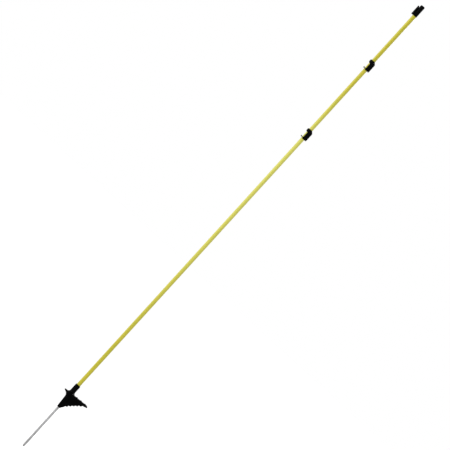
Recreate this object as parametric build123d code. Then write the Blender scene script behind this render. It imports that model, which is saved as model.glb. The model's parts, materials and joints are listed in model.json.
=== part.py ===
from build123d import *
import math
import os

# Step-in fence post: a round fibreglass rod with a steel ground spike and a moulded step-in foot
# at the bottom, two wire clips that slide on the rod, and a head cap that holds the top wire.
# Millimetres. +Z runs up the rod, +X points along the long side of the tread, and the origin is
# on the rod's axis where the spike leaves the foot, which is ground level when it is pushed in.

# Rod and spike
ROD_R = 5.5
ROD_END_CHAMFER = 0.5
SPIKE_R = 3.5
SPIKE_IN_GROUND = 143.0
SPIKE_POINT = 7.0
SPIKE_TIP_R = 1.2
SHANK_R = 3.0
SHANK_H = 38.0

# Clearances between pieces that are fitted together
BOND_CLEARANCE = 0.05
RUNNING_CLEARANCE = 0.05

# Foot: the round core round the spike and rod
SLEEVE_TOP_Z = 79.5
SLEEVE_R = 7.55
SLEEVE_CHAMFER = 1.0
CORE_FOOT_R = 5.5
CORE_TAPER_TOP_Z = 34.0
CORE_FOOT_CHAMFER = 1.2

# Foot: the tread plate that the boot pushes on
TREAD_W = 32.0
TREAD_OUTER_X = 58.3
TREAD_CREST_Z = 53.3
TREAD_CREST_R = 5.0
TREAD_T = 6.6
TREAD_LIP_L = 3.2
TREAD_LIP_DROP = 2.8
TREAD_LIP_T = 1.4
TREAD_BEND_R = 12.0
TREAD_CORNER_R = 7.0
TREAD_EDGE_CHAMFER = 0.8
SLEEVE_FILLET_R = 7.5
UNDER_FLARE_R = 2.2
UNDER_CHAMFER = 1.5

# Foot: grip bars across the tread
BAR_FIRST_X = 20.5
BAR_PITCH = 14.0
BAR_COUNT = 3
BAR_W = 6.0
BAR_H = 1.2
BAR_END_MARGIN = 3.0

# Foot: the short heel opposite the tread
HEEL_TIP_X = -20.9
HEEL_TIP_Z = 48.6
HEEL_TIP_T = 2.2
HEEL_TIP_W = 9.0
HEEL_SHOULDER_X = -6.25
HEEL_UNDER_X = -13.0
HEEL_UNDER_Z = 43.4
HEEL_INNER_X = -17.0
HEEL_CORNER_R = 4.0
HEEL_ROOT_Z = 33.0

# Foot: the web under the tread and its toothed edge
WEB_T = 8.0
WEB_START_Z = 3.0
TOOTH_COUNT = 6
TOOTH_FIRST_X = 11.0
TOOTH_FIRST_Z = 9.3
TOOTH_LAST_X = 44.0
TOOTH_LAST_Z = 41.2
TOOTH_BOW = 0.9
TOOTH_DEPTH = 2.6
TOOTH_RUNOUT_DEPTH = 1.4
TOOTH_VALLEY_SHARE = 0.36
WEB_END_X = 47.5

# Wire clips. The drop runs from the top of the head to the middle of the upper clip.
CLIP_DROP = 215.5
CLIP_SPACING = 250.0
CLIP_H = 32.5
CLIP_BACK_X = 11.0
CLIP_HALF_W = 8.0
CLIP_BACK_CORNER_R = 3.0
CLIP_MOUTH_X = -2.6
CLIP_CROWN_X = 4.8
CLIP_CROWN_DROP = 6.3
CLIP_CROWN_R = 3.0
CLIP_BASE_R = 2.5
CLIP_SIDE_CORNER_R = 1.6
NOSE_X = -8.7
NOSE_H = 9.2
NOSE_CORNER_R = 7.5
NOSE_TIP_R = 3.0
NOSE_THROAT_R = 3.0
NOSE_UNDERCUT_DROP = 1.8
LIP_FLOOR_Z = 2.6
LIP_T = 1.5
LIP_TOP_Z = 5.8
LIP_OUTER_R = 10.0
LIP_HALF_W = 5.0
LIP_CORNER_R = 1.2
LIP_NECK_R = 7.4

# Head cap
CAP_TOP_Z = 1457.0
CAP_H = 35.5
CAP_R = 6.6
CAP_ROOF_T = 3.5
CAP_TOP_EDGE_R = 3.0
CAP_RIM_CHAMFER = 0.5
TONGUE_H = 28.6
TONGUE_T = 2.7
TONGUE_HALF_W = 6.6
TONGUE_CORNER_R = 4.5
TONGUE_CHAMFER = 0.5
SLOT_DEPTH = 16.0
SLOT_W = 2.3

# What follows from the sizes above
ROD_SEAT_Z = SHANK_H
CAP_BASE_Z = CAP_TOP_Z - CAP_H
ROD_TOP_Z = CAP_TOP_Z - CAP_ROOF_T
TONGUE_INNER_R = CAP_R + SLOT_W
TONGUE_OUTER_R = TONGUE_INNER_R + TONGUE_T
SOCKET_R = ROD_R + BOND_CLEARANCE
SHANK_HOLE_R = SHANK_R + BOND_CLEARANCE
RUNNING_R = ROD_R + RUNNING_CLEARANCE
CLIP_HIGH_Z = CAP_TOP_Z - CLIP_DROP - CLIP_H / 2
CLIP_LOW_Z = CLIP_HIGH_Z - CLIP_SPACING
HEEL_TOP_Z = HEEL_TIP_Z + HEEL_TIP_T / 2
TREAD_CREST_X = TREAD_OUTER_X - TREAD_LIP_L
TREAD_CLIMB = (TREAD_CREST_Z - HEEL_TOP_Z) / (TREAD_CREST_X - HEEL_TIP_X)


def corner(sketch, x, y):
    """The corner of a sketch at x, y, looked for afresh because each rounding renews the corners."""
    return sketch.vertices().sort_by_distance((x, y))[0]


def fence_rod():
    """The pultruded rod: round, straight, from its seat in the foot to the roof of the cap."""
    length = ROD_TOP_Z - ROD_SEAT_Z
    rod = Pos(0, 0, ROD_SEAT_Z) * Cylinder(ROD_R, length, align=(Align.CENTER, Align.CENTER, Align.MIN))
    return chamfer(rod.edges().filter_by(GeomType.CIRCLE), ROD_END_CHAMFER)


def ground_spike():
    """The steel spike: a round bar with a turned point, and a thinner shank that the foot grips."""
    with BuildPart() as spike:
        with BuildSketch(Plane.XZ):
            with BuildLine():
                Polyline(
                    (0, ROD_SEAT_Z),
                    (0, -SPIKE_IN_GROUND),
                    (SPIKE_TIP_R, -SPIKE_IN_GROUND),
                    (SPIKE_R, -SPIKE_IN_GROUND + SPIKE_POINT),
                    (SPIKE_R, 0),
                    (SHANK_R, 0),
                    (SHANK_R, ROD_SEAT_Z),
                    close=True,
                )
            make_face()
        revolve(axis=Axis.Z)
    return spike.part


def foot_core():
    """The round core of the foot: a tapered boss round the spike that becomes the rod's sleeve."""
    with BuildPart() as core:
        with BuildSketch(Plane.XZ) as profile:
            with BuildLine():
                Polyline(
                    (0, 0),
                    (CORE_FOOT_R, 0),
                    (SLEEVE_R, CORE_TAPER_TOP_Z),
                    (SLEEVE_R, SLEEVE_TOP_Z),
                    (0, SLEEVE_TOP_Z),
                    close=True,
                )
            make_face()
            chamfer(corner(profile, CORE_FOOT_R, 0), CORE_FOOT_CHAMFER)
            chamfer(corner(profile, SLEEVE_R, SLEEVE_TOP_Z), SLEEVE_CHAMFER)
        revolve(axis=Axis.Z)
    return core.part


def tread_top_z(x):
    """Height of the tread's top face, one straight climb from the heel's tip to the crest."""
    return TREAD_CREST_Z + TREAD_CLIMB * (x - TREAD_CREST_X)


def toothed_edge():
    """The web's lower edge: tips on a shallow arc, and each valley just past a tip, square into the web.

    The last valley is shallower, because the web runs out there under the tread.
    """
    run_x = (TOOTH_LAST_X - TOOTH_FIRST_X) / (TOOTH_COUNT - 1)
    run_z = (TOOTH_LAST_Z - TOOTH_FIRST_Z) / (TOOTH_COUNT - 1)
    pitch = math.hypot(run_x, run_z)
    into_x = -run_z / pitch
    into_z = run_x / pitch
    points = []
    for i in range(TOOTH_COUNT):
        along = i / (TOOTH_COUNT - 1)
        bow = 4 * TOOTH_BOW * along * (1 - along)
        tip_x = TOOTH_FIRST_X + i * run_x + bow * into_x
        tip_z = TOOTH_FIRST_Z + i * run_z + bow * into_z
        depth = TOOTH_DEPTH if i < TOOTH_COUNT - 1 else TOOTH_RUNOUT_DEPTH
        valley_x = tip_x + TOOTH_VALLEY_SHARE * run_x + depth * into_x
        valley_z = tip_z + TOOTH_VALLEY_SHARE * run_z + depth * into_z
        points.append((tip_x, tip_z))
        points.append((valley_x, valley_z))
    return points


def web_section():
    """The web's upright section, which flares in a hollow curve where it meets the tread."""
    half = WEB_T / 2
    deep = SLEEVE_TOP_Z
    under = Plane(
        origin=(0, 0, tread_top_z(0) - TREAD_T),
        x_dir=(0, 1, 0),
        z_dir=(1, 0, TREAD_CLIMB),
    )
    with BuildPart() as web:
        with BuildSketch(under):
            with BuildLine():
                for side in (1, -1):
                    Line((0, -deep), (side * half, -deep))
                    Line((side * half, -deep), (side * half, -UNDER_FLARE_R))
                    TangentArc(
                        (side * half, -UNDER_FLARE_R), (side * (half + UNDER_FLARE_R), 0), tangent=(0, 1)
                    )
                    Line((side * (half + UNDER_FLARE_R), 0), (side * (half + UNDER_FLARE_R), TREAD_T / 2))
                    Line((side * (half + UNDER_FLARE_R), TREAD_T / 2), (0, TREAD_T / 2))
            make_face()
        extrude(amount=TREAD_OUTER_X, both=True)
    return web.part


def foot_web():
    """The upright web: a toothed gusset under the tread and a short curved one under the heel."""
    core_z = tread_top_z(0) - TREAD_T / 2
    end_z = tread_top_z(WEB_END_X) - TREAD_T / 2
    with BuildPart() as web:
        with BuildSketch(Plane.XZ):
            with BuildLine():
                Polyline(
                    (0, WEB_START_Z),
                    (CORE_FOOT_R, WEB_START_Z),
                    *toothed_edge(),
                    (WEB_END_X, end_z),
                    (0, core_z),
                    close=True,
                )
            make_face()
            with BuildLine():
                Line((0, HEEL_ROOT_Z), (-SLEEVE_R, HEEL_ROOT_Z))
                TangentArc((-SLEEVE_R, HEEL_ROOT_Z), (HEEL_UNDER_X, HEEL_UNDER_Z), tangent=(0, 1))
                Polyline((HEEL_UNDER_X, HEEL_UNDER_Z), (HEEL_INNER_X, HEEL_TIP_Z), (0, core_z))
                Line((0, core_z), (0, HEEL_ROOT_Z))
            make_face()
        extrude(amount=TREAD_W, both=True)
    return web.part & web_section()


def tread_plan():
    """The tread's outline from above: straight sides, a square outer end and a narrow heel."""
    half = TREAD_W / 2
    heel = HEEL_TIP_W / 2
    with BuildSketch() as plan:
        with BuildLine():
            Polyline(
                (TREAD_OUTER_X, -half),
                (TREAD_OUTER_X, half),
                (HEEL_SHOULDER_X, half),
                (HEEL_TIP_X, heel),
                (HEEL_TIP_X, -heel),
                (HEEL_SHOULDER_X, -half),
                close=True,
            )
        make_face()
        fillet(plan.vertices().group_by(Axis.X)[1:], TREAD_CORNER_R)
        fillet(plan.vertices().group_by(Axis.X)[0], HEEL_CORNER_R)
    return plan.sketch


def upper_rim(plate):
    """The edges where a plate's upper faces meet its upright sides."""
    upright = 0.1
    upper = plate.faces().filter_by(lambda face: face.normal_at().Z > upright)
    sides = plate.faces().filter_by(lambda face: abs(face.normal_at().Z) < upright)
    return upper.edges() & sides.edges()


def tread_plate():
    """The tread and heel as one plate, thin at both ends, its upper rim bevelled for the boot."""
    lip_top_z = TREAD_CREST_Z - TREAD_LIP_DROP
    web_end_z = tread_top_z(WEB_END_X) - TREAD_T
    heel_under_z = tread_top_z(HEEL_UNDER_X) - TREAD_T
    with BuildPart() as plate:
        with BuildSketch(Plane.XZ) as side:
            with BuildLine():
                Polyline(
                    (HEEL_TIP_X, HEEL_TOP_Z),
                    (TREAD_CREST_X, TREAD_CREST_Z),
                    (TREAD_OUTER_X, lip_top_z),
                    (TREAD_OUTER_X, lip_top_z - TREAD_LIP_T),
                    (WEB_END_X, web_end_z),
                    (HEEL_UNDER_X, heel_under_z),
                    (HEEL_TIP_X, HEEL_TIP_Z - HEEL_TIP_T / 2),
                    close=True,
                )
            make_face()
            fillet(corner(side, TREAD_CREST_X, TREAD_CREST_Z), TREAD_CREST_R)
            fillet(corner(side, WEB_END_X, web_end_z), TREAD_BEND_R)
            fillet(corner(side, HEEL_UNDER_X, heel_under_z), TREAD_BEND_R)
        extrude(amount=TREAD_W, both=True)
    plate = plate.part & extrude(tread_plan(), amount=SLEEVE_TOP_Z)
    return chamfer(upper_rim(plate), TREAD_EDGE_CHAMFER)


def grip_bar(x):
    """One low bar across the tread, with a rounded crown and rounded ends."""
    length = TREAD_W - 2 * BAR_END_MARGIN
    top_z = tread_top_z(x)
    crown_r = (BAR_W**2 / 4 + BAR_H**2) / (2 * BAR_H)
    log = Pos(x, 0, top_z + BAR_H - crown_r) * Rot(90, 0, 0) * Cylinder(crown_r, length)
    footprint = Pos(x, 0, top_z - BAR_H) * extrude(SlotOverall(length, BAR_W, rotation=90), amount=3 * BAR_H)
    return log & footprint


def is_on_core(edge, z):
    """Whether an edge goes round the core near height z, where the tread meets it."""
    box = edge.bounding_box()
    reach = SLEEVE_R + 2 * BOND_CLEARANCE
    rise = SLEEVE_R * TREAD_CLIMB
    inside = max(box.max.X, -box.min.X, box.max.Y, -box.min.Y) < reach
    return inside and box.min.Z > z - 2 * rise and box.max.Z < z + 2 * rise


def step_in_foot():
    """The foot as one moulding: core, toothed web, tread with grip bars, heel and both sockets."""
    foot = foot_core() + tread_plate()
    top_z = tread_top_z(0)
    foot = fillet(foot.edges().filter_by(lambda edge: is_on_core(edge, top_z)), SLEEVE_FILLET_R)
    foot = chamfer(foot.edges().filter_by(lambda edge: is_on_core(edge, top_z - TREAD_T)), UNDER_CHAMFER)
    foot = foot + foot_web()
    for i in range(BAR_COUNT):
        foot = foot + grip_bar(BAR_FIRST_X + i * BAR_PITCH)
    shank_hole = Cylinder(SHANK_HOLE_R, SHANK_H, align=(Align.CENTER, Align.CENTER, Align.MIN))
    socket_depth = SLEEVE_TOP_Z - ROD_SEAT_Z
    socket = Pos(0, 0, ROD_SEAT_Z) * Cylinder(
        SOCKET_R, socket_depth, align=(Align.CENTER, Align.CENTER, Align.MIN)
    )
    return foot - shank_hole - socket


def clip_side():
    """The clip from the side: an upright back, a nose over the wire's seat and an open mouth."""
    crown_z = CLIP_H - CLIP_CROWN_DROP
    nose_under_z = CLIP_H - NOSE_H
    throat_z = nose_under_z - NOSE_UNDERCUT_DROP
    with BuildSketch(Plane.XZ) as side:
        with BuildLine():
            Polyline(
                (CLIP_MOUTH_X, 0),
                (CLIP_BACK_X, 0),
                (CLIP_BACK_X, crown_z),
                (CLIP_CROWN_X, CLIP_H),
                (NOSE_X, CLIP_H),
                (NOSE_X, nose_under_z),
                (CLIP_MOUTH_X, throat_z),
                close=True,
            )
        make_face()
        fillet(corner(side, NOSE_X, CLIP_H), NOSE_TIP_R)
        fillet(corner(side, NOSE_X, nose_under_z), NOSE_TIP_R)
        fillet(corner(side, CLIP_MOUTH_X, throat_z), NOSE_THROAT_R)
        fillet(corner(side, CLIP_BACK_X, 0), CLIP_BASE_R)
        fillet(corner(side, CLIP_BACK_X, crown_z), CLIP_CROWN_R)
        fillet(corner(side, CLIP_CROWN_X, CLIP_H), CLIP_CROWN_R)
    return side.sketch


def clip_plan():
    """The clip from above: a full round nose end and a square back with rounded corners."""
    length = CLIP_BACK_X - NOSE_X
    middle = (CLIP_BACK_X + NOSE_X) / 2
    with BuildSketch() as plan:
        with Locations((middle, 0)):
            Rectangle(length, 2 * CLIP_HALF_W)
        fillet(plan.vertices().group_by(Axis.X)[0], NOSE_CORNER_R)
        fillet(plan.vertices().group_by(Axis.X)[-1], CLIP_BACK_CORNER_R)
    return plan.sketch


def wire_lip():
    """The lip under the mouth: a thin floor round the rod that turns up into a curved rim."""
    with BuildSketch() as plan:
        Circle(LIP_OUTER_R)
        with Locations((-LIP_OUTER_R, 0)):
            Rectangle(2 * LIP_OUTER_R, 2 * LIP_HALF_W, mode=Mode.INTERSECT)
        Circle(LIP_NECK_R)
    floor = Pos(0, 0, LIP_FLOOR_Z) * extrude(plan.sketch, amount=LIP_T)
    ring = Pos(0, 0, LIP_FLOOR_Z) * extrude(
        Circle(LIP_OUTER_R) - Circle(LIP_OUTER_R - LIP_T), amount=LIP_TOP_Z - LIP_FLOOR_Z
    )
    height = LIP_TOP_Z + LIP_CORNER_R
    with BuildSketch(Plane.YZ) as face:
        with Locations((0, LIP_TOP_Z - height / 2)):
            RectangleRounded(2 * LIP_HALF_W, height, LIP_CORNER_R)
    rim = ring & extrude(face.sketch, amount=-2 * LIP_OUTER_R)
    return floor + rim


def wire_clip(base_z):
    """One clip as one moulding, with the bore that lets it slide on the rod."""
    tall = extrude(clip_plan(), amount=CLIP_H)
    wide = extrude(clip_side(), amount=CLIP_HALF_W, both=True)
    with BuildSketch(Plane.YZ) as front:
        with Locations((0, CLIP_H / 2)):
            RectangleRounded(2 * CLIP_HALF_W, CLIP_H, CLIP_SIDE_CORNER_R)
    deep = extrude(front.sketch, amount=2 * CLIP_BACK_X, both=True)
    clip = (tall & wide & deep) + wire_lip()
    bore = Pos(0, 0, -CLIP_H) * Cylinder(RUNNING_R, 4 * CLIP_H, align=(Align.CENTER, Align.CENTER, Align.MIN))
    return Pos(0, 0, base_z) * (clip - bore)


def cap_tongue():
    """The curved tongue beside the cap, joined to it below the slot that the wire drops into."""
    shell = extrude(Circle(TONGUE_OUTER_R) - Circle(TONGUE_INNER_R), amount=TONGUE_H)
    height = 2 * TONGUE_H
    with BuildSketch(Plane.YZ) as face:
        with Locations((0, TONGUE_H - height / 2)):
            RectangleRounded(2 * TONGUE_HALF_W, height, TONGUE_CORNER_R)
    tongue = shell & extrude(face.sketch, amount=-2 * TONGUE_OUTER_R)
    tongue = chamfer(tongue.edges() - tongue.edges().group_by(Axis.Z)[0], TONGUE_CHAMFER)
    middle_r = (TONGUE_INNER_R + TONGUE_OUTER_R) / 2
    root = extrude(Circle(middle_r) - Circle(SOCKET_R), amount=TONGUE_H - SLOT_DEPTH)
    width = 2 * (TONGUE_HALF_W - TONGUE_CHAMFER)
    return tongue + (root & Pos(-middle_r / 2, 0, 0) * Box(middle_r, width, height))


def head_cap():
    """The cap as one moulding: a round-topped head pushed over the rod's end, and its tongue."""
    with BuildPart() as head:
        with BuildSketch(Plane.XZ) as profile:
            with BuildLine():
                Polyline((0, 0), (CAP_R, 0), (CAP_R, CAP_H), (0, CAP_H), close=True)
            make_face()
            fillet(corner(profile, CAP_R, CAP_H), CAP_TOP_EDGE_R)
            chamfer(corner(profile, CAP_R, 0), CAP_RIM_CHAMFER)
        revolve(axis=Axis.Z)
    socket = Cylinder(SOCKET_R, CAP_H - CAP_ROOF_T, align=(Align.CENTER, Align.CENTER, Align.MIN))
    return Pos(0, 0, CAP_BASE_Z) * (head.part + cap_tongue() - socket)


PIECES = {
    "fibreglass_rod": fence_rod(),
    "ground_spike": ground_spike(),
    "step_in_foot": step_in_foot(),
    "lower_wire_clip": wire_clip(CLIP_LOW_Z),
    "upper_wire_clip": wire_clip(CLIP_HIGH_Z),
    "head_cap": head_cap(),
}

os.makedirs("parts", exist_ok=True)
for name, piece in PIECES.items():
    export_step(piece, f"parts/{name}.step")
    box = piece.bounding_box()
    print(name, "volume", round(piece.volume), "mm3, z", round(box.min.Z, 2), "to", round(box.max.Z, 2))
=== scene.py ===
# %% [markdown]
# # A step-in fence post, built in cells
# The post is one fibreglass rod with a steel spike and a moulded foot at its lower end, two wire clips
# along it and a cap on its head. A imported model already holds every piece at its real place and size,
# in metres, with Z up the rod. It is loaded first, and each piece below is built inside its own box.

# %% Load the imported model
import json
import math

import bmesh
import bpy
import numpy as np
from mathutils import Matrix, Vector


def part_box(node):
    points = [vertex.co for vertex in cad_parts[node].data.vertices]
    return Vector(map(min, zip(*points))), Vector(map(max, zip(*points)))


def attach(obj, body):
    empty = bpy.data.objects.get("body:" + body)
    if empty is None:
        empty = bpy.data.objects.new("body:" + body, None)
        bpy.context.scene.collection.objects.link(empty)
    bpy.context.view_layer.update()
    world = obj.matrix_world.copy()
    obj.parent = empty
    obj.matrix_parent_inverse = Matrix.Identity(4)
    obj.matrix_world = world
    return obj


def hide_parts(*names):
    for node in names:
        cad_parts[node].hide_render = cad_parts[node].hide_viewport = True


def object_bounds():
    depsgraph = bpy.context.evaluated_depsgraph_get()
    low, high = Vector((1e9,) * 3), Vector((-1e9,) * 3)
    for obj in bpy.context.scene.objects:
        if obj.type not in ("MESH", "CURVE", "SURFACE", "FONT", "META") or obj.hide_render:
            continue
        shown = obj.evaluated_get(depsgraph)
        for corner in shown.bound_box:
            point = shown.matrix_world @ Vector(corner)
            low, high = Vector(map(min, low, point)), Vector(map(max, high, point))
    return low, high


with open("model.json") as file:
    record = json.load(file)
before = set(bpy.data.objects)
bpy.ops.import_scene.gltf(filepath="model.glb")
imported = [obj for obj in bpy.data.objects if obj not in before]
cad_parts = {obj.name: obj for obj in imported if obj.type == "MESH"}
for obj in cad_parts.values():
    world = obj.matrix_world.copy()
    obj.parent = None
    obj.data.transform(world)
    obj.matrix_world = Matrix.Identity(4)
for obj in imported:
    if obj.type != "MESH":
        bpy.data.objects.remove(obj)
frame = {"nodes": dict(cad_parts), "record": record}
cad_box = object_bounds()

print("Box of the whole post:", [tuple(round(v, 4) for v in corner) for corner in cad_box])

# %% [markdown]
# ## Where the camera stands
# The photograph shows the post square from its side, leaning from corner to corner over plain white.
# Two pixels settle the whole picture: the point of the spike and the top of the cap. The line between
# them gives the lean, and the post's length over the pixels between them gives the scale. The post
# itself stands upright here, so the camera is rolled instead. It stands far off with a long lens: from
# close by, the tread's near edge would hang below its middle, and the photograph shows none of that.

# %% Camera
PHOTO_SIDE = 450
POINT_PIXEL = (22.7, 446.3)
HEAD_PIXEL = (423.3, 6.4)
LENS_MM = 400.0
SENSOR_MM = 36.0

post_foot, post_head = cad_box[0].z, cad_box[1].z
run_right = HEAD_PIXEL[0] - POINT_PIXEL[0]
run_up = POINT_PIXEL[1] - HEAD_PIXEL[1]
lean = math.atan2(run_right, run_up)
pixel = (post_head - post_foot) / math.hypot(run_right, run_up)

picture_right = Vector((math.cos(lean), 0, math.sin(lean)))
picture_up = Vector((-math.sin(lean), 0, math.cos(lean)))
picture_back = picture_right.cross(picture_up)
aim = (
    Vector((0, 0, post_foot))
    + picture_right * (PHOTO_SIDE / 2 - POINT_PIXEL[0]) * pixel
    + picture_up * (POINT_PIXEL[1] - PHOTO_SIDE / 2) * pixel
)
distance = PHOTO_SIDE * pixel * LENS_MM / SENSOR_MM

camera = bpy.data.objects.new("camera", bpy.data.cameras.new("camera"))
bpy.context.scene.collection.objects.link(camera)
camera.data.lens = LENS_MM
camera.data.sensor_width = SENSOR_MM
camera.matrix_world = Matrix.Translation(aim + picture_back * distance) @ Matrix(
    (picture_right, picture_up, picture_back)
).transposed().to_4x4()
bpy.context.scene.camera = camera
print("Lean", round(math.degrees(lean), 2), "degrees, camera", round(distance, 2), "m away")

# %% [markdown]
# ## Round pieces as turned surfaces
# The rod and the spike are both round bars, so one formula makes them: a profile of radius against
# height, carried round the Z axis. A grid of points does it in one go, with the last column joined to
# the first and a flat disc over each end. The real rod is pulled through a heated die, which leaves it
# truly round and straight, and the real spike is drawn bar whose point is turned on a lathe.

# %% A mesh from arrays, and a turned surface
SHARP_TURN = math.radians(32)
ROUND_SIDES = 96


def put(name, points, faces):
    """A mesh object at the origin from an array of points and a list of faces.

    It is shaded smooth, except at edges where the surface turns by more than SHARP_TURN.
    """
    mesh = bpy.data.meshes.new(name)
    mesh.from_pydata(points.tolist(), [], faces)
    mesh.shade_smooth()
    mesh.set_sharp_from_angle(angle=SHARP_TURN)
    piece = bpy.data.objects.new(name, mesh)
    bpy.context.scene.collection.objects.link(piece)
    return piece


def turned(name, profile):
    """A profile carried round the Z axis.

    Row i of the grid is the circle of radius r[i] at height z[i], and column j lies at j / ROUND_SIDES
    of a turn: x = r cos(a), y = r sin(a). A flat disc closes the first row and the last.
    """
    radius, height = np.asarray(profile, float).T
    column = np.arange(ROUND_SIDES)
    angle = column * (2 * math.pi / ROUND_SIDES)
    points = np.stack(
        (
            np.outer(radius, np.cos(angle)),
            np.outer(radius, np.sin(angle)),
            np.outer(height, np.ones(ROUND_SIDES)),
        ),
        axis=-1,
    )
    row = np.arange(len(radius) - 1)[:, None] * ROUND_SIDES
    row_above = row + ROUND_SIDES
    after = (column + 1) % ROUND_SIDES
    quads = np.stack((row + column, row + after, row_above + after, row_above + column), axis=-1)
    last = (len(radius) - 1) * ROUND_SIDES
    discs = [column[::-1].tolist(), (last + column).tolist()]
    return put(name, points.reshape(-1, 3), quads.reshape(-1, 4).tolist() + discs)


print("Round pieces get", ROUND_SIDES, "sides")

# %% Rod
ROD_CHAMFER = 0.0005

rod_low, rod_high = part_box("fibreglass_rod")
rod_radius = rod_high.x
rod = turned(
    "pultruded_rod",
    [
        (rod_radius - ROD_CHAMFER, rod_low.z),
        (rod_radius, rod_low.z + ROD_CHAMFER),
        (rod_radius, rod_high.z - ROD_CHAMFER),
        (rod_radius - ROD_CHAMFER, rod_high.z),
    ],
)
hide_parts("fibreglass_rod")
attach(rod, "post")
print("Rod", round(2000 * rod_radius, 1), "mm thick,", round(rod_high.z - rod_low.z, 3), "m long")

# %% [markdown]
# ## The spike
# The point is a short blunt cone with a flat at its tip, so that it enters stony ground without curling
# over. Where the cone meets the bar, the lathe leaves a soft shoulder. That shoulder is a short curve
# here, a parabola from the cone's slope to the straight bar. The record's mount gives the length of the
# straight bar, and what is left below it is the point. The thinner shank sits inside the foot, whose
# underside is at height 0.

# %% Spike
TIP_FLAT_R = 0.0012
SHANK_R = 0.003
SHOULDER_LENGTH = 0.002
SHOULDER_ROWS = 9
FOOT_UNDERSIDE = 0.0

spike_low, spike_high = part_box("ground_spike")
spike_radius = spike_high.x
spike_mount = next(mount for mount in frame["record"]["mounts"] if mount["name"] == "spike")
point_top = FOOT_UNDERSIDE - spike_mount["dims"]["length_mm"] / 1000
cone_slope = (spike_radius - TIP_FLAT_R) / (point_top - spike_low.z)
share = np.linspace(0, 1, SHOULDER_ROWS)
shoulder_z = point_top + SHOULDER_LENGTH * (share - 0.5)
shoulder_r = spike_radius - cone_slope * SHOULDER_LENGTH / 2 * (1 - share) ** 2
spike = turned(
    "steel_spike",
    [
        (TIP_FLAT_R, spike_low.z),
        *zip(shoulder_r, shoulder_z),
        (spike_radius, FOOT_UNDERSIDE),
        (SHANK_R, FOOT_UNDERSIDE),
        (SHANK_R, spike_high.z),
    ],
)
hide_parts("ground_spike")
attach(spike, "post")
print("Spike", round(2000 * spike_radius, 1), "mm thick,", round(-1000 * spike_low.z), "mm below the foot")

# %% [markdown]
# ## Mouldings with soft edges
# The foot, the clips and the cap are injection moulded, and no edge of a moulding is truly sharp: the
# cutter that made the steel mould leaves a small radius, and that radius is what catches the light. The
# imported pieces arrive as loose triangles, so their shared points are merged first and flat areas made
# whole again. A narrow bevel then rounds the edges, and weighted normals keep the broad faces flat.

# %% Rounded copies of the moulded nodes
MERGE_DECIMALS = 7
FLAT_TURN = math.radians(0.5)
EDGE_STEPS = 2
FOOT_EDGE = 0.00025
CLIP_EDGE = 0.0003
CAP_EDGE = 0.0002


def merged(node):
    """Places and triangles of a node, each place once.

    Places are rounded to a tenth of a micrometre and sorted, equal ones become one, and the
    triangles' corners are renumbered to match. A triangle with two corners in one place goes.
    """
    data = frame["nodes"][node].data
    places = np.empty(len(data.vertices) * 3)
    data.vertices.foreach_get("co", places)
    corners = np.empty(len(data.loops), int)
    data.loops.foreach_get("vertex_index", corners)
    unique, number = np.unique(places.reshape(-1, 3).round(MERGE_DECIMALS), axis=0, return_inverse=True)
    triangles = number.reshape(-1)[corners].reshape(-1, 3)
    whole = (triangles != np.roll(triangles, 1, axis=1)).all(axis=1)
    return unique, triangles[whole]


def moulded(name, node, body, edge):
    """A copy of a node with flat areas made whole and its edges rounded by a bevel as wide as edge."""
    places, triangles = merged(node)
    piece = put(name, places, triangles.tolist())
    shape = bmesh.new()
    shape.from_mesh(piece.data)
    bmesh.ops.dissolve_limit(
        shape, angle_limit=FLAT_TURN, verts=shape.verts[:], edges=shape.edges[:]
    )
    shape.to_mesh(piece.data)
    shape.free()
    bevel = piece.modifiers.new("soft edge", "BEVEL")
    bevel.width = edge
    bevel.segments = EDGE_STEPS
    bevel.limit_method = "ANGLE"
    bevel.angle_limit = SHARP_TURN
    normals = piece.modifiers.new("flat faces", "WEIGHTED_NORMAL")
    normals.keep_sharp = False
    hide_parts(node)
    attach(piece, body)
    print(name, len(triangles), "triangles in,", len(piece.data.polygons), "faces before the bevel")
    return piece


foot = moulded("moulded_foot", "step_in_foot", "post", FOOT_EDGE)
low_clip = moulded("wire_clip_low", "lower_wire_clip", "lower_clip", CLIP_EDGE)
high_clip = moulded("wire_clip_high", "upper_wire_clip", "upper_clip", CLIP_EDGE)
cap = moulded("moulded_cap", "head_cap", "post", CAP_EDGE)

# %% [markdown]
# ## Shader maths that reads as arithmetic
# A finish is a network of small nodes, and most of them only add, scale or compare numbers. Wrapping a
# socket in a class lets those be written as plain expressions: each operator adds its own Math node,
# also where a plain number stands on its left.

# %% Signals


class Signal:
    """One output socket of a finish. Operators on it add Math nodes."""

    def __init__(self, finish, socket):
        self.finish = finish
        self.socket = socket

    def with_math(self, operation, *operands):
        """The output of a new Math node that works on these operands in this order."""
        return self.finish.add("Math", {"operation": operation}, dict(enumerate(operands)))

    def __add__(self, other):
        return self.with_math("ADD", self, other)

    def __radd__(self, other):
        return self.with_math("ADD", other, self)

    def __sub__(self, other):
        return self.with_math("SUBTRACT", self, other)

    def __rsub__(self, other):
        return self.with_math("SUBTRACT", other, self)

    def __mul__(self, other):
        return self.with_math("MULTIPLY", self, other)

    def __rmul__(self, other):
        return self.with_math("MULTIPLY", other, self)

    def __abs__(self):
        return self.with_math("ABSOLUTE", self)

    def sine(self):
        return self.with_math("SINE", self)

    def rise(self, low, high):
        """0 below low, 1 above high, and a smooth step between them."""
        return self.finish.add(
            "MapRange",
            {"interpolation_type": "SMOOTHSTEP"},
            {"Value": self, "From Min": low, "From Max": high},
        )


print("A signal takes +, - and * with a signal or a number on either side, and abs")

# %% [markdown]
# ## One method for every other node
# All other nodes, such as noise or a bump, go in through one method that takes a node's type, its
# settings and its sockets. A few short methods on top of it name what the finishes below need. A Mix
# node keeps sockets for numbers, vectors and colours side by side under the same names, so the ones
# for colours are picked by number.

# %% Finishes
MIX_FIRST_COLOUR = 6
MIX_SECOND_COLOUR = 7
MIX_COLOUR_OUT = 2
NOISE_ROUGHNESS = 0.55


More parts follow.
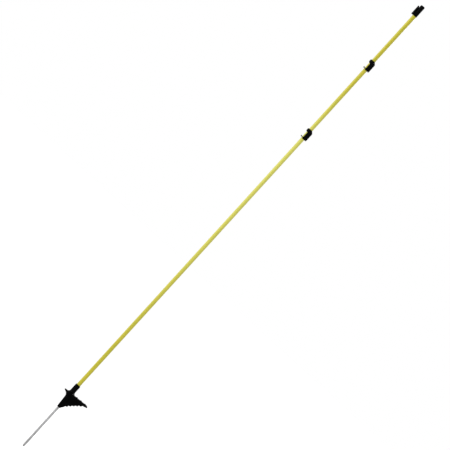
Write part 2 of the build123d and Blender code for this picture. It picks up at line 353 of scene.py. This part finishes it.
class Finish:
    """A node tree being built, for one material or for the world."""

    def __init__(self, owner):
        owner.use_nodes = True
        self.owner = owner
        self.tree = owner.node_tree
        self.tree.nodes.clear()

    def add(self, kind, settings=None, sockets=None, output=0):
        """One node: its type, its settings first, then its sockets by name or number."""
        node = self.tree.nodes.new("ShaderNode" + kind)
        for name, value in (settings or {}).items():
            setattr(node, name, value)
        for key, value in (sockets or {}).items():
            if isinstance(value, Signal):
                self.tree.links.new(value.socket, node.inputs[key])
            else:
                node.inputs[key].default_value = value
        return Signal(self, node.outputs[output]) if node.outputs else None

    def place(self):
        """Where a point of the piece lies, in metres from the post's origin."""
        return self.add("TexCoord", output="Object")

    def along(self, axis):
        """How far a point of the piece lies along X, Y or Z, in metres from the post's origin."""
        return self.add("SeparateXYZ", None, {"Vector": self.place()}, output=axis)

    def noise(self, stretch, scale, detail=3.0):
        """Noise whose grain is drawn out along an axis by a small stretch number for that axis."""
        drawn_out = self.add(
            "VectorMath", {"operation": "MULTIPLY"}, {0: self.place(), 1: stretch}
        )
        return self.add(
            "TexNoise",
            None,
            {"Vector": drawn_out, "Scale": scale, "Detail": detail, "Roughness": NOISE_ROUGHNESS},
        )

    def relief(self, strength, depth, height):
        """A bump in which a height of 1 stands for this depth in metres."""
        return self.add("Bump", None, {"Strength": strength, "Distance": depth, "Height": height})

    def blend(self, share, first, second):
        """The first colour where share is 0 and the second where it is 1."""
        return self.add(
            "Mix",
            {"data_type": "RGBA"},
            {"Factor": share, MIX_FIRST_COLOUR: first, MIX_SECOND_COLOUR: second},
            output=MIX_COLOUR_OUT,
        )

    def surface(self, **sockets):
        """A Principled surface with these sockets, which ends the network."""
        names = {name.replace("_", " "): value for name, value in sockets.items()}
        shader = self.add("BsdfPrincipled", None, names)
        self.add("OutputMaterial", None, {"Surface": shader})
        return self.owner


print("Each finer layer of noise keeps", NOISE_ROUGHNESS, "of the strength of the one before")

# %% [markdown]
# ## Yellow fibreglass
# A pultruded rod is glass fibre drawn lengthwise through coloured resin. The fibres show through the
# resin as fine streaks along the rod, a little lighter and darker than each other, and the skin over
# them is satin with a faint ribbing. So the streaks are two noises, fine fibres and broader bundles of
# them, drawn out a hundred times and more along Z, and they drive the colour, the roughness and a very
# low bump. The resin itself isn't even: it drifts from olive to ochre every few centimetres, which a
# third, slow noise does. The photograph also shows the rod paler and less yellow below the lower clip
# than near its two ends, which is a broad glossy sheen. Here that sheen is a painted highlight: a pale
# wash in the colour that grows smoothly from the foot up and fades between the clips.

# %% Fibreglass finish
RESIN_OLIVE = (0.345, 0.331, 0.012, 1)
RESIN_OCHRE = (0.419, 0.345, 0.016, 1)
RESIN_PALE = (0.488, 0.446, 0.036, 1)
# Painted highlight: the pale colour of the painted sheen on the rod's lower middle.
PAINTED_SHEEN_COLOUR = (0.58, 0.58, 0.15, 1)
OCHRE_BAND = (0.35, 0.65)
PALE_BAND = (0.36, 0.68)
FIBRE_SHARE = 0.6
MOST_PAINTED_SHEEN = 0.5
PAINTED_SHEEN_MARGIN = 0.05
FIBRE_BUMP = 0.25
FIBRE_DEPTH = 0.00006
RESIN_ROUGHNESS = 0.34
STREAK_ROUGHNESS = 0.16
RESIN_SPECULAR = 0.30

foot_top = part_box("step_in_foot")[1].z
low_clip_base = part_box("lower_wire_clip")[0].z
high_clip_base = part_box("upper_wire_clip")[0].z

fibreglass = Finish(bpy.data.materials.new("yellow fibreglass"))
fibres = fibreglass.noise(stretch=(1, 1, 0.010), scale=1500.0)
bundles = fibreglass.noise(stretch=(1, 1, 0.004), scale=420.0, detail=2.0)
drift = fibreglass.noise(stretch=(0.5, 0.5, 1), scale=34.0, detail=2.0)
streaks = FIBRE_SHARE * fibres + (1 - FIBRE_SHARE) * bundles
resin = fibreglass.blend(drift.rise(*OCHRE_BAND), RESIN_OLIVE, RESIN_OCHRE)
streaked = fibreglass.blend(streaks.rise(*PALE_BAND), resin, RESIN_PALE)
up_the_rod = fibreglass.along("Z")
# Painted sheen: a pale wash that rises from the foot to just below the lower clip and fades out by the
# upper clip.
painted_sheen_rise = up_the_rod.rise(foot_top, low_clip_base - 2 * PAINTED_SHEEN_MARGIN)
painted_sheen_fade = up_the_rod.rise(low_clip_base - PAINTED_SHEEN_MARGIN, high_clip_base)
fibreglass_material = fibreglass.surface(
    Base_Color=fibreglass.blend(MOST_PAINTED_SHEEN * painted_sheen_rise * (1 - painted_sheen_fade), streaked, PAINTED_SHEEN_COLOUR),
    Roughness=RESIN_ROUGHNESS + STREAK_ROUGHNESS * streaks,
    Normal=fibreglass.relief(FIBRE_BUMP, FIBRE_DEPTH, streaks),
    Specular_IOR_Level=RESIN_SPECULAR,
)
rod.data.materials.append(fibreglass_material)
print("Fibreglass:", len(fibreglass.tree.nodes), "nodes")

# %% [markdown]
# ## Black moulded plastic
# The mouldings are black polypropylene with a spark-eroded mould finish: an even, very fine grain that
# breaks up the gloss. The steel mould opens along the middle of each piece and leaves a hairline there.
# So the grain is a small round noise in the bump and the roughness, a broad noise shows where the melt
# cooled a little faster, and the parting line is a narrow ridge where y crosses zero.

# %% Plastic finish
BLACK_BODY = (0.0006, 0.0006, 0.0007, 1)
BLACK_COOL = (0.0015, 0.0016, 0.0018, 1)
COOL_BAND = (0.35, 0.70)
PARTING_HALF_W = 0.00012
GRAIN_HEIGHT = 0.6
PARTING_HEIGHT = 0.7
MOULD_BUMP = 0.35
MOULD_DEPTH = 0.00005
MOULD_ROUGHNESS = 0.36
COOLING_ROUGHNESS = 0.10
GRAIN_ROUGHNESS = 0.06
PLASTIC_SPECULAR = 0.05

plastic = Finish(bpy.data.materials.new("black moulded plastic"))
grain = plastic.noise(stretch=(1, 1, 1), scale=2600.0, detail=2.0)
cooling = plastic.noise(stretch=(1, 1, 1), scale=55.0)
parting = 1 - abs(plastic.along("Y")).rise(0.5 * PARTING_HALF_W, 1.5 * PARTING_HALF_W)
mould_marks = GRAIN_HEIGHT * grain + PARTING_HEIGHT * parting
plastic_material = plastic.surface(
    Base_Color=plastic.blend(cooling.rise(*COOL_BAND), BLACK_BODY, BLACK_COOL),
    Roughness=MOULD_ROUGHNESS + COOLING_ROUGHNESS * cooling + GRAIN_ROUGHNESS * grain,
    Normal=plastic.relief(MOULD_BUMP, MOULD_DEPTH, mould_marks),
    Specular_IOR_Level=PLASTIC_SPECULAR,
)
for piece in (foot, low_clip, high_clip, cap):
    piece.data.materials.append(plastic_material)
print("Plastic:", len(plastic.tree.nodes), "nodes")

# %% [markdown]
# ## Drawn steel
# Drawn bar has fine scratches along its length, and the turned point has rings round it instead. Both
# are heights between 0 and 1 in one bump, and a smooth step up the spike hands over from the rings to
# the scratches. Bare steel also carries faint cloudy patches of oxide, which are rougher and a little
# darker.

# %% Steel finish
BRIGHT_STEEL = (0.80, 0.80, 0.805, 1)
DULL_STEEL = (0.54, 0.535, 0.53, 1)
OXIDE_BAND = (0.40, 0.68)
RING_PITCH = 0.00045
MARK_BUMP = 0.3
MARK_DEPTH = 0.00005
STEEL_ROUGHNESS = 0.36
OXIDE_ROUGHNESS = 0.16
MARK_ROUGHNESS = 0.10

steel = Finish(bpy.data.materials.new("drawn steel"))
scratches = steel.noise(stretch=(1, 1, 0.02), scale=2200.0)
oxide = steel.noise(stretch=(1, 1, 0.45), scale=130.0, detail=4.0).rise(*OXIDE_BAND)
up_the_spike = steel.along("Z")
rings = 0.5 + 0.5 * (up_the_spike * (2 * math.pi / RING_PITCH)).sine()
bar = up_the_spike.rise(point_top - SHOULDER_LENGTH / 2, point_top + SHOULDER_LENGTH / 2)
marks = rings + (scratches - rings) * bar
steel_material = steel.surface(
    Base_Color=steel.blend(oxide, BRIGHT_STEEL, DULL_STEEL),
    Metallic=1.0,
    Roughness=STEEL_ROUGHNESS + OXIDE_ROUGHNESS * oxide + MARK_ROUGHNESS * marks,
    Normal=steel.relief(MARK_BUMP, MARK_DEPTH, marks),
)
spike.data.materials.append(steel_material)
print("Steel:", len(steel.tree.nodes), "nodes")

# %% [markdown]
# ## A pale floor that melts into the background
# The photograph has no horizon and no shadow: the white simply goes on. Here the post stands with its
# point on a wide floor. The floor is pale and gets some light of its own, as a light table does, so
# that it comes out as white as the world behind it and the line where they meet can't be seen. Bright
# surroundings would turn black plastic grey and bare steel white, so what the gloss of the post
# mirrors is a dimmer grey table, as if black flags stood round it.

# %% Floor
FLOOR_RADIUS = 60.0
FLOOR_SIDES = 128
FLOOR_TONE = (0.82, 0.82, 0.82, 1)
FLOOR_ROUGHNESS = 0.9
FLOOR_GLOW = 0.50
WHITE = (1, 1, 1, 1)
MIRRORED_GREY = 0.42

corner = np.arange(FLOOR_SIDES)
turn = corner * (2 * math.pi / FLOOR_SIDES)
rim = np.stack(
    (FLOOR_RADIUS * np.cos(turn), FLOOR_RADIUS * np.sin(turn), np.full(FLOOR_SIDES, post_foot)),
    axis=-1,
)
floor = put("studio_floor", rim, [corner.tolist()])
table = Finish(bpy.data.materials.new("light table"))
paper = table.add(
    "BsdfPrincipled",
    None,
    {
        "Base Color": FLOOR_TONE,
        "Roughness": FLOOR_ROUGHNESS,
        "Specular IOR Level": 0.0,
        "Emission Color": WHITE,
        "Emission Strength": FLOOR_GLOW,
    },
)
mirrored = table.add("Emission", None, {"Strength": MIRRORED_GREY})
seen_in_gloss = table.add("LightPath", output="Is Glossy Ray")
paper_or_grey = table.add("MixShader", None, {0: seen_in_gloss, 1: paper, 2: mirrored})
table.add("OutputMaterial", None, {"Surface": paper_or_grey})
floor.data.materials.append(table.owner)
print("Floor at", round(post_foot, 3), "m")

# %% [markdown]
# ## Soft studio light
# Most of the light is an even white dome, as in a light tent. The camera sees it pure white, matt
# surfaces see it dimmer, so that the lamps can shape the rod, and gloss sees the same grey as on the
# table. One broad key from the left of the picture makes the rod's left side paler than its right, a
# weaker strip lifts the right edge, and a third light keeps the back from going flat.

# %% Dome
DOME_FOR_MATT = 0.62

world = bpy.data.worlds.new("light tent")
bpy.context.scene.world = world
dome = Finish(world)
seen_directly = dome.add("LightPath", output="Is Camera Ray")
seen_in_gloss = dome.add("LightPath", output="Is Glossy Ray")
matt_or_gloss = DOME_FOR_MATT + (MIRRORED_GREY - DOME_FOR_MATT) * seen_in_gloss
strength = seen_directly + (1 - seen_directly) * matt_or_gloss
background = dome.add("Background", None, {"Color": WHITE, "Strength": strength})
dome.add("OutputWorld", None, {"Surface": background})
print("Dome:", len(dome.tree.nodes), "nodes")

# %% Lamps
# Each lamp: where it stands, how wide and how high it is, all in metres, and its power in watts.
LAMPS = {
    "key": ((-3.2, -1.5, 1.9), (1.4, 1.6), 90.0),
    "edge strip": ((2.6, -1.2, 1.1), (0.4, 1.8), 14.0),
    "back": ((1.0, 2.8, 1.9), (1.2, 1.2), 34.0),
}

target = Vector((0, 0, aim.z))
for name, (place, (width, height), power) in LAMPS.items():
    lamp = bpy.data.objects.new(name, bpy.data.lights.new(name, "AREA"))
    bpy.context.scene.collection.objects.link(lamp)
    lamp.data.shape = "RECTANGLE"
    lamp.data.size = width
    lamp.data.size_y = height
    lamp.data.energy = power
    lamp.location = place
    lamp.rotation_euler = (target - Vector(place)).to_track_quat("-Z", "Y").to_euler()
    print("Lamp", name, power, "W at", place)

# %% [markdown]
# ## Colour
# The photograph was exposed so that white is white. The plain Standard view keeps that, while a filmic
# view would turn the floor grey.

# %% Colour view
view = bpy.context.scene.view_settings
view.view_transform = "Standard"
view.look = "None"
print("View:", view.view_transform)
